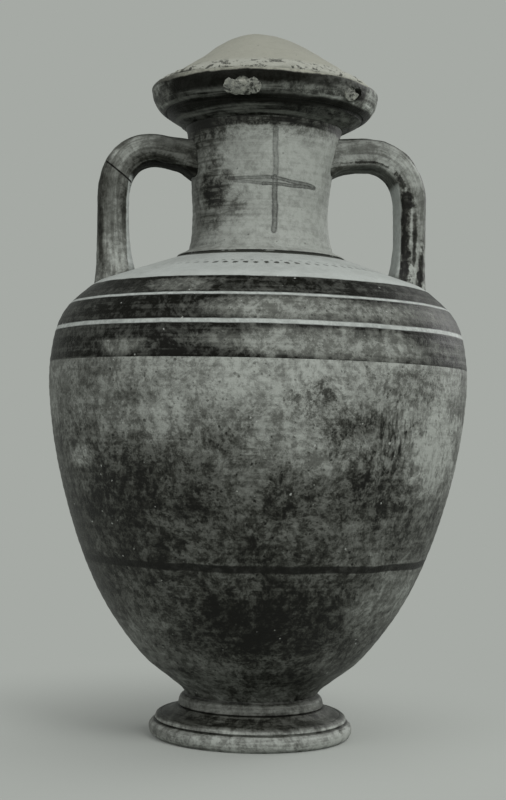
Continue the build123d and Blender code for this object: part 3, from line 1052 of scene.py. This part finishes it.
class JAR_OT_finishes(bpy.types.Operator):
    """Make the shared effects and the seven finishes"""

    bl_idname = "jar.finishes"
    bl_label = "Finishes"

    def execute(self, context):
        effects = (make_mottling_group, make_streak_group, make_speck_group, make_patch_group)
        effects += (make_band_group, make_stroke_group, make_dot_group, make_grain_group)
        finishes = (make_worn_wash, make_banded_slip, make_pale_clay, make_dark_slip)
        finishes += (make_handle_clay, make_plaster, make_foot_clay)
        for make in (*effects, make_edge_group, *finishes):
            make()
        return {"FINISHED"}


class JAR_OT_foot(bpy.types.Operator):
    """Turn the ring foot with its mouldings and its hollow"""

    bl_idname = "jar.foot"
    bl_label = "Foot"

    def execute(self, context):
        outline = vectors([(0, SEAT), (SEAT_RADIUS, SEAT), WAIST])
        for shares in FOOT_MOULDINGS:
            points = between(WAIST, (FOOT_RADIUS, 0), shares)
            outline += vectors(points[:1]) + curve_through(points[1:], 1.3)
        hollow = [(FOOT_RADIUS - 19.5, 0), (66, 11), (50, 18.5), (26, 23), (0, 24)]
        outline += curve_through(hollow, 5)
        foot = turned_piece("ring_foot", outline, smooth=30)
        lumps(foot, FOOT_LUMPS)
        chips = [(0.5, 62, 13.5, 3.4), (1, -118, 4, 3), (0, 160, 12, 3.2)]
        bite(foot, [(FOOT_RADIUS + out, *chip) for out, *chip in chips])
        pick(foot, lambda point: point.z < 0.0006)
        bpy.ops.transform.resize(value=(1, 1, 0), center_override=(0, 0, 0))
        bpy.ops.object.mode_set(mode="OBJECT")
        dress(foot, "jar", "foot_clay", "foot", smooth=32)
        return {"FINISHED"}


class JAR_OT_body(bpy.types.Operator):
    """Turn the bowl, the belly wall and the shoulder from one shared outline"""

    bl_idname = "jar.body"
    bl_label = "Body walls"

    def execute(self, context):
        outer = body_line()
        bowl_outer, rest = cut_at(outer, LOW_SEAM)
        belly_outer, shoulder_outer = cut_at(rest, HIGH_SEAM)
        shoulder_outer += straight(SHOULDER_END, NECK_EDGE, 3.0)[1:] + vectors([NECK_EDGE])
        top, rest = cut_at(inside(outer[::3], WALL), HIGH_SEAM)
        middle, low = cut_at(rest, LOW_SEAM)
        drop = WALL * 1.054
        top = straight((BORE, slope_height(BORE) - drop), top[0], 6.0) + top
        low += curve_through([low[-1], (30, BOWL_FLOOR + 3), (0, BOWL_FLOOR)], 6.0)[1:-1]
        bowl = vectors([(0, SEAT), (SEAT_RADIUS, SEAT)]) + thrown(bowl_outer + low)
        bowl += vectors([(0, BOWL_FLOOR)])
        belly = thrown(belly_outer + middle)
        ledge = [(NECK_EDGE[0], NECK_EDGE[1] - drop / 2), (BORE, slope_height(BORE) - drop / 2)]
        shoulder = thrown(shoulder_outer) + vectors(ledge) + thrown(top)
        rows = [
            ("bowl_side", bowl, "worn_wash", "base_bowl"),
            ("belly_side", belly, "worn_wash", "belly_wall"),
            ("shoulder_side", shoulder, "banded_slip", "shoulder"),
        ]
        for name, outline, slot, node in rows:
            piece = turned_piece(name, outline)
            sway(piece)
            dress(piece, "jar", slot, node)
        return {"FINISHED"}


class JAR_OT_neck(bpy.types.Operator):
    """Turn the neck with its flare and the tongue that enters the rim"""

    bl_idname = "jar.neck"
    bl_label = "Neck"

    def execute(self, context):
        sizes = context.scene.jar_sizes
        outer = neck_line()
        edge, height = NECK_EDGE
        drop = WALL * 0.527
        lip = [(edge - 0.8, height - 0.4), (edge, height + 1.2)]
        lip += [(edge - 1.5, height + 2.5), (edge - 6, height + 4.2)]
        outline = vectors([(BORE, slope_height(BORE) - drop), (edge - 1, height - drop)])
        outline += curve_through(lip + [outer[0]], 1.2)[:-1] + thrown(outer)
        outline += neck_lap() + thrown(neck_line(WALL, 6.0)[::-1])
        neck = turned_piece("neck_side", outline)
        sway(neck)
        lumps(neck, NECK_LUMPS)
        low, high = NECK_MIDDLE
        pull(neck, lambda point: low < point.z / MM < high, -sizes.neck_shift, reach=0.05)
        dress(neck, "jar", "pale_clay", "neck")
        return {"FINISHED"}


def rim_outline():
    """Closed half outline of the rim, with the groove round its underside."""
    start = (NECK_TOP_RADIUS, NECK_TOP)
    end = (RIM_RADIUS, RIM_TOP)
    under = curve_through(between(start, end, [(0, 0), (0.28, 0.139), (0.53, 0.272)]), 2.0)
    groove = between(start, end, [(0.546, 0.322), (0.574, 0.352), (0.604, 0.336)])
    swell = between(start, end, [(0.634, 0.333), (0.788, 0.445), (0.944, 0.666), (1.0, 0.87)])
    lip = between(start, end, [(1.0, 0.905), (0.975, 0.965), (0.91, 0.995), (0.86, 1.0)])
    mouth = [(MOUTH_RADIUS + 1, RIM_TOP), (MOUTH_RADIUS, RIM_TOP - 1)]
    mouth += [(MOUTH_RADIUS, RIM_TOP - 20)]
    outside = under + vectors(groove) + curve_through(swell, 1.8) + curve_through(lip, 1.2)
    return outside + vectors(mouth) + neck_lap()[::-1]


# Height that the rim and lid tip about, in millimetres
TIP_CENTRE = NECK_TOP + 12


def tip(piece, floor=0.0):
    """Tips what lies above a height a little to the right, as the rim and lid sit."""
    pick(piece, lambda point: point.z > floor * MM)
    turn(bpy.context.scene.jar_sizes.rim_lean, "Y", (0, 0, TIP_CENTRE * MM))
    bpy.ops.object.mode_set(mode="OBJECT")


# Peg holes in the rim: degrees round from the front, height above the neck, radius of the hole,
# half width and half height of the plaster smeared over it, and how far the smear has sagged
PEGS = {"front": (-11.5, 19.8, 7.5, 17, 12.5, 3), "right": (48, 21.5, 5.5, 8, 7.5, 0)}
# A filling: length of its stem, thickness of its smear, how far it stands proud, rings of faces
STEM = 11
SMEAR = 2.4
PROUD = 1.8
FILLING_RINGS = 14
# The drill for a peg hole: its length, and the clearance round a filling
DRILL = 30
CLEARANCE = 0.2


def point_out(around):
    """Turns what lies flat on the ground to face out of the rim."""
    turn(radians(90), "X", (0, 0, 0))
    turn(radians(around), "Z", (0, 0, 0))


def make_filling(side, rim):
    """A rough smear of plaster on the rim, with a stem that fills its peg hole."""
    around, height, radius, half_width, half_height, sag = PEGS[side]
    way = way_out(around)
    circle = bpy.ops.mesh.primitive_circle_add
    name = "filling_" + side
    piece = begin_piece(name, circle, vertices=72, radius=half_width * MM, fill_type="NGON")
    for _ in range(FILLING_RINGS - 1):
        bpy.ops.mesh.inset(thickness=half_width / FILLING_RINGS * MM)
    bpy.ops.mesh.merge(type="CENTER")
    bpy.ops.mesh.select_all(action="SELECT")
    bpy.ops.transform.resize(value=(1, half_height / half_width, 1), center_override=(0, 0, 0))
    point_out(around)
    root = way * (RIM_RADIUS - 2) + Vector((0, 0, NECK_TOP + height))
    bpy.ops.transform.translate(value=(root - Vector((0, 0, sag))) * MM)
    bpy.ops.object.mode_set(mode="OBJECT")
    lump(piece, 0.008, 0.0014, "X")
    lump(piece, 0.007, 0.0014, "Z")
    proud = {"wrap_method": "NEAREST_SURFACEPOINT", "offset": PROUD * MM}
    apply(piece, "SHRINKWRAP", target=rim, **proud)
    back = piece.vertex_groups.new(name="back")
    apply(piece, "SOLIDIFY", thickness=SMEAR * MM, offset=-1, shell_vertex_group="back")
    behind = set()
    for vertex in piece.data.vertices:
        if any(entry.group == back.index for entry in vertex.groups):
            out = vertex.co / MM - root
            if (out - way * out.dot(way)).length < radius - 2 * CLEARANCE:
                behind.add(tuple(vertex.co))
    pick(piece, lambda point: tuple(point) in behind)
    bpy.ops.mesh.extrude_region_move(TRANSFORM_OT_translate={"value": way * -STEM * MM})
    close_and_smooth(piece, 50)
    lumps(piece, FILLING_LUMPS)
    return piece


def drill(rim, side):
    """Drills one peg hole in the rim."""
    around, height, radius, *_ = PEGS[side]
    sizes = {"vertices": 48, "radius": (radius + CLEARANCE) * MM, "depth": DRILL * MM}
    cutter = begin_piece("drill", bpy.ops.mesh.primitive_cylinder_add, **sizes)
    point_out(around)
    place = way_out(around) * RIM_RADIUS + Vector((0, 0, NECK_TOP + height))
    bpy.ops.transform.translate(value=place * MM)
    bpy.ops.object.mode_set(mode="OBJECT")
    cut(rim, cutter)


class JAR_OT_rim(bpy.types.Operator):
    """Turn the rim, drill its two peg holes and fill them with rough plaster"""

    bl_idname = "jar.rim"
    bl_label = "Rim and fillings"

    def execute(self, context):
        rim = turned_piece("rim_ring", rim_outline())
        sway(rim)
        lumps(rim, RIM_LUMPS)
        tip(rim, NECK_TOP + 3)
        for side in PEGS:
            filling = make_filling(side, rim)
            dress(filling, "jar", "plaster", "rim_plug_" + side, smooth=50)
        for side in PEGS:
            drill(rim, side)
        cavity, chip = (53, NECK_TOP + 22.5, 5.4), (-150, RIM_TOP - 4, 4)
        bite(rim, [(RIM_RADIUS - 0.5, *cavity), (RIM_RADIUS - 1, *chip)])
        dress(rim, "jar", "dark_slip", "rim")
        return {"FINISHED"}


def lid_outline():
    """Half outline of the lid: its dome, its edge, and the hollow inside its flange."""
    crown = [(0, LID_TOP), (12, LID_TOP - 0.9), (24, LID_TOP - 4.3), (40, RIM_TOP + 38.8)]
    crown += [(60, RIM_TOP + 25.6), (78, RIM_TOP + 13.6), (LID_RADIUS - 9, RIM_TOP + 7.6)]
    ledge = [(-7.6, 6.4), (-5.6, 6.5), (-2, 4.6), (0.2, 2.2), (0, 0.3)]
    ledge = [(LID_RADIUS + out, RIM_TOP + height) for out, height in ledge]
    outer, inner, foot = MOUTH_RADIUS - 1.5, MOUTH_RADIUS - 10.5, RIM_TOP - 14
    flange = [(outer, RIM_TOP), (outer, foot), (inner, foot), (inner, RIM_TOP + 18)]
    hollow = [flange[-1], (40, RIM_TOP + 28), (20, RIM_TOP + 38.5), (0, RIM_TOP + 41)]
    outline = curve_through(crown, 2.4) + curve_through(ledge, 1.1) + vectors(flange)
    return outline + curve_through(hollow, 5)[1:]


def group_lid(lid):
    """Groups the points of the lid's outside, and of its edge, by their place."""
    outside = lid.vertex_groups.new(name="outside")
    edge = lid.vertex_groups.new(name="edge")
    for vertex in lid.data.vertices:
        out = vertex.co.to_2d().length / MM
        height = vertex.co.z / MM - RIM_TOP
        if height > 0.1 and height * 1.5 > 76 - out:
            outside.add([vertex.index], 1, "REPLACE")
            if out > LID_RADIUS - 11:
                edge.add([vertex.index], 1, "REPLACE")


class JAR_OT_lid(bpy.types.Operator):
    """Turn the hollow dome of the lid, with its crumbled edge and its flange"""

    bl_idname = "jar.lid"
    bl_label = "Lid"

    def execute(self, context):
        sizes = context.scene.jar_sizes
        lid = turned_piece("lid_dome", lid_outline())
        sway(lid)
        pull(lid, lambda point: point.to_2d().length < 0.001, -sizes.crown_shift, reach=0.085)
        group_lid(lid)
        lump(lid, 0.05, sizes.plaster_lump, group="outside")
        lumps(lid, LID_LUMPS, "outside")
        lumps(lid, LID_CRUMBS, "edge")
        tip(lid)
        dress(lid, "lid", "plaster", "lid", smooth=50)
        return {"FINISHED"}


# Handles, in millimetres: reach from the axis, height, thickness and width at each station
RIGHT_HANDLE = [
    (50, 526, 40, 52),
    (58, 528, 35, 49),
    (66, 530.2, 31, 46),
    (78, 532.2, 28.5, 43),
    (94, 533.4, 27.5, 42),
    (108, 531.5, 27, 42),
    (121.5, 524, 26.5, 42),
    (131.6, 511, 26, 42),
    (136.6, 493, 25.4, 42),
    (137.2, 470, 25, 42),
    (137.2, 448, 25.2, 42),
    (136.2, 430, 27.5, 45),
    (134.8, 416, 31.5, 51),
    (133.2, 396, 37, 60),
]
LEFT_HANDLE = [
    (50, 521.4, 41, 52),
    (58, 522.4, 38, 50),
    (64, 523.9, 32.6, 47),
    (72, 526.3, 27.6, 44),
    (88, 528.6, 25, 42),
    (100, 530.2, 26.2, 42),
    (112, 528.2, 27.4, 42),
    (124, 520.8, 28.4, 42),
    (132, 508.5, 29, 42),
    (135.6, 492, 28, 42),
    (135.9, 470, 28.4, 42),
    (135.2, 450, 29.2, 42),
    (134, 432, 32, 46),
    (132.4, 418, 36, 54),
    (131, 396, 43, 64),
]
# The left handle's old break: a place on it and the way that it faces
LEFT_BREAK = ((130.4, 505.9), (-0.609, 0.793))
# How far both handles are turned round the jar, in degrees, and how round their edges are
HANDLE_TURN = 5.5
RIGHT_ROUND = 6
LEFT_ROUND = 11
OUTER_ROUND = 12


def strap(name, rows, inner_round):
    """A strap drawn out of a rounded section along its stations, in the plane of X and Z."""
    line = curve_through(rows, 5.0)
    first = line[0]
    piece = begin_piece(name, bpy.ops.mesh.primitive_plane_add, size=MM)
    bpy.ops.transform.resize(value=(first[2], first[3], 1), center_override=(0, 0, 0))
    edge = first[2] / 2 - 0.1
    pick(piece, lambda point: point.x / MM < -edge)
    bpy.ops.mesh.bevel(offset=inner_round * MM, segments=5, affect="VERTICES")
    pick(piece, lambda point: point.x / MM > edge)
    bpy.ops.mesh.bevel(offset=OUTER_ROUND * MM, segments=5, affect="VERTICES")
    bpy.ops.mesh.select_all(action="SELECT")
    bpy.ops.transform.translate(value=(first[0] * MM, 0, first[1] * MM))
    angles = []
    for index in range(len(line)):
        ahead = way_along(line, index)
        angles.append(atan2(-ahead[0], -ahead[1]))
    turn(angles[0], "Y", (first[0] * MM, 0, first[1] * MM))
    for index in range(1, len(line)):
        last, here = line[index - 1], line[index]
        step = (here - last) * MM
        centre = (here[0] * MM, 0, here[1] * MM)
        move = (step[0], 0, step[1])
        bpy.ops.mesh.extrude_region_move(TRANSFORM_OT_translate={"value": move})
        turn(-angles[index - 1], "Y", centre)
        growth = (here[2] / last[2], here[3] / last[3], 1)
        bpy.ops.transform.resize(value=growth, center_override=centre)
        turn(angles[index], "Y", centre)
    close_and_smooth(piece, 60)
    apply(piece, "SUBSURF", levels=2, render_levels=2)
    return piece


def trim_to_jar(piece):
    """Cuts away what lies deeper than a few millimetres in the neck and shoulder."""
    depth = 5.5
    body = [point - Vector((depth, 0)) for point in body_line(8.0)][:-2]
    corner = [(SHOULDER_END[0] - 1, SHOULDER_END[1] - depth)]
    corner += [(NECK_EDGE[0] - depth, NECK_EDGE[1] - depth)]
    outline = vectors([(0, WAIST[1])]) + body + vectors(corner)
    outline += neck_line(depth, 6.0) + vectors([(0, NECK_TOP)])
    cut(piece, turned_piece("trimmer", outline, 128))


def mark_strap(piece, rows, around, side):
    """Stores each point's place along, across and out from the handle's middle line."""
    line = curve_through(rows, 2.0)
    tree = KDTree(len(line))
    lengths = [0.0]
    for index, point in enumerate(line):
        tree.insert((point[0], 0, point[1]), index)
        if index:
            step = Vector((point[0] - line[index - 1][0], point[1] - line[index - 1][1]))
            lengths.append(lengths[-1] + step.length)
    tree.balance()
    facing = Vector((cos(radians(around)), sin(radians(around)), 0))
    across = Vector((-facing.y, facing.x, 0))
    front = 1 if across.y > 0 else -1
    kinds = {"strap_place": "FLOAT_VECTOR", "strap_side": "FLOAT", "strap_break": "FLOAT"}
    for name, kind in kinds.items():
        piece.data.attributes.new(name, kind, "POINT")
    places, sides, gaps = (piece.data.attributes[name].data for name in kinds)
    place, way = vectors(LEFT_BREAK)
    for vertex in piece.data.vertices:
        reach, height = vertex.co.dot(facing) / MM, vertex.co.z / MM
        _, index, _ = tree.find((reach, 0, height))
        ahead = way_along(line, index)
        along = Vector((ahead[0], ahead[1])).normalized()
        off = Vector((reach - line[index][0], height - line[index][1]))
        far = lengths[index] + off.dot(along)
        out = off.dot(Vector((-along.y, along.x)))
        places[vertex.index].vector = Vector((far, vertex.co.dot(across) / MM * front, out)) * MM
        sides[vertex.index].value = side
        gaps[vertex.index].value = (Vector((reach, height)) - place).dot(way) * MM


def finish_handle(piece, rows, around, side, node):
    """Turns a handle to its side of the jar and gives it its surface."""
    pick(piece, lambda point: True)
    turn(radians(around), "Z", (0, 0, 0))
    bpy.ops.object.mode_set(mode="OBJECT")
    mark_strap(piece, rows, around, side)
    dress(piece, "jar", "handle_clay", node, smooth=50)


def make_handle(name, rows, inner_round):
    """A whole handle, trimmed to the jar and lumpy as if pressed by hand."""
    piece = strap(name, rows, inner_round)
    trim_to_jar(piece)
    lumps(piece, HANDLE_LUMPS)
    return piece


class JAR_OT_handles(bpy.types.Operator):
    """Draw out both handles, and part the left one at its old break"""

    bl_idname = "jar.handles"
    bl_label = "Handles"

    def execute(self, context):
        right = make_handle("handle_right", RIGHT_HANDLE, RIGHT_ROUND)
        finish_handle(right, RIGHT_HANDLE, HANDLE_TURN, 1, "right_handle")
        left = make_handle("handle_left_lower", LEFT_HANDLE, LEFT_ROUND)
        make_active(left)
        bpy.ops.object.duplicate()
        upper = context.object
        upper.name = "handle_left_upper"
        upper.data.name = "handle_left_upper"
        place, facing = LEFT_BREAK
        for piece, keep_upper in ((upper, True), (left, False)):
            pick(piece, lambda point: True)
            bpy.ops.mesh.bisect(
                plane_co=(place[0] * MM, 0, place[1] * MM),
                plane_no=(facing[0], 0, facing[1]),
                use_fill=True,
                clear_inner=keep_upper,
                clear_outer=not keep_upper,
            )
            bpy.ops.mesh.bevel(offset=0.7 * MM, segments=2, affect="EDGES")
            bpy.ops.mesh.select_all(action="SELECT")
            bpy.ops.mesh.normals_make_consistent(inside=False)
            bpy.ops.object.mode_set(mode="OBJECT")
            node = "left_handle_upper" if keep_upper else "left_handle_lower"
            finish_handle(piece, LEFT_HANDLE, HANDLE_TURN + 180, 0, node)
        return {"FINISHED"}


class JAR_OT_stage(bpy.types.Operator):
    """Lay the floor, hang the lamps and set up the camera"""

    bl_idname = "jar.stage"
    bl_label = "Stage"

    def execute(self, context):
        make_floor()
        make_lamps()
        make_camera()
        return {"FINISHED"}


# Radius of the floor, in metres
FLOOR_RADIUS = 12


def seen_directly(graph):
    """Whether a ray comes from the camera, a reflection or through glass."""
    kinds = ("Is Camera Ray", "Is Glossy Ray", "Is Transmission Ray")
    return graph.any_of(*(graph.value("LightPath", kind) for kind in kinds))


def make_floor():
    """Pale floor that keeps the shadow and fades into the backdrop."""
    bpy.ops.object.select_all(action="DESELECT")
    sizes = {"vertices": 96, "radius": FLOOR_RADIUS, "location": (0, 0, 0)}
    bpy.ops.mesh.primitive_circle_add(fill_type="NGON", **sizes)
    floor = bpy.context.object
    floor.name = "floor"
    material = bpy.data.materials.new("floor")
    graph = empty_graph(material)
    setting = bpy.context.scene.jar_colours.setting
    far = graph.math("LENGTH", graph.value("TexCoord", "Object"))
    glow = graph.value("Emission", 0, {"Color": setting, "Strength": 1.0})
    diffuse = graph.value("BsdfDiffuse", 0, {"Color": setting})
    factor = seen_directly(graph) * graph.spread(far, 0.12, 0.45)
    mixed = graph.value("MixShader", 0, {0: factor, 1: diffuse, 2: glow})
    graph.add("OutputMaterial", {"Surface": mixed})
    floor.data.materials.append(material)


# Lamps: where each hangs, how wide it is and its power, and the place that they all face
LAMPS = {
    "key lamp": ((1.5, -2.1, 2.0), 1.4, 55),
    "fill lamp": ((-2.0, -1.8, 1.3), 1.8, 20),
    "back lamp": ((1.7, 1.3, 1.2), 1.2, 18),
}
LAMP_AIM = (0, 0, 0.3)
WORLD_LIGHT = 0.6


def make_lamps():
    """Plain soft lamps and a pale world."""
    scene = bpy.context.scene
    for name, (place, width, power) in LAMPS.items():
        lamp = bpy.data.lights.new(name, "AREA")
        lamp.size = width
        lamp.energy = power
        holder = bpy.data.objects.new(name, lamp)
        scene.collection.objects.link(holder)
        holder.location = place
        way = Vector(LAMP_AIM) - Vector(place)
        holder.rotation_euler = way.to_track_quat("-Z", "Y").to_euler()
    world = bpy.data.worlds.new("plain world")
    graph = empty_graph(world)
    shown = graph.value("Background", 0, {"Color": scene.jar_colours.setting, "Strength": 1.0})
    light = graph.value("Background", 0, {"Color": (1, 1, 1), "Strength": WORLD_LIGHT})
    mixed = graph.value("MixShader", 0, {0: seen_directly(graph), 1: light, 2: shown})
    graph.add("OutputWorld", {"Surface": mixed})
    scene.world = world
    scene.view_settings.view_transform = "Standard"


# Camera: place in metres, lens and sensor in millimetres, roll in degrees, and picture's shift
CAMERA_PLACE = (-0.0035, -1.419, 0.2719)
LENS = 69.75
SENSOR = 36
CAMERA_ROLL = -1.35
PICTURE_SHIFT = 0.0462


def make_camera():
    """Camera at the photograph's distance, eye height and slight roll."""
    camera = bpy.data.cameras.new("camera")
    camera.sensor_width = SENSOR
    camera.lens = LENS
    camera.shift_y = PICTURE_SHIFT
    camera.clip_start = 0.05
    camera.clip_end = 60
    holder = bpy.data.objects.new("camera", camera)
    bpy.context.scene.collection.objects.link(holder)
    holder.location = CAMERA_PLACE
    holder.rotation_euler = (radians(90), radians(CAMERA_ROLL), 0)
    bpy.context.scene.camera = holder


OPERATORS = (JAR_OT_finishes, JAR_OT_foot, JAR_OT_body, JAR_OT_neck, JAR_OT_rim, JAR_OT_lid)
OPERATORS += (JAR_OT_handles, JAR_OT_stage)


class JAR_PT_panel(bpy.types.Panel):
    """Lists the jar's pieces, sizes and colours"""

    bl_idname = "JAR_PT_panel"
    bl_label = "Storage jar"
    bl_space_type = "VIEW_3D"
    bl_region_type = "UI"
    bl_category = "Jar"

    def draw(self, context):
        for operator in OPERATORS:
            self.layout.operator(operator.bl_idname)
        for group in (context.scene.jar_sizes, context.scene.jar_colours):
            for name in group.__annotations__:
                self.layout.prop(group, name)


CLASSES = (JarSizes, JarColours, *OPERATORS, JAR_PT_panel)


def register():
    for item in CLASSES:
        bpy.utils.register_class(item)
    bpy.types.Scene.jar_sizes = bpy.props.PointerProperty(type=JarSizes)
    bpy.types.Scene.jar_colours = bpy.props.PointerProperty(type=JarColours)


def unregister():
    del bpy.types.Scene.jar_colours
    del bpy.types.Scene.jar_sizes
    for item in reversed(CLASSES):
        bpy.utils.unregister_class(item)


def main():
    """Builds every piece in order."""
    register()
    bpy.ops.jar.finishes()
    bpy.ops.jar.foot()
    bpy.ops.jar.body()
    bpy.ops.jar.neck()
    bpy.ops.jar.rim()
    bpy.ops.jar.lid()
    bpy.ops.jar.handles()
    bpy.ops.jar.stage()


if __name__ == "__main__":
    main()
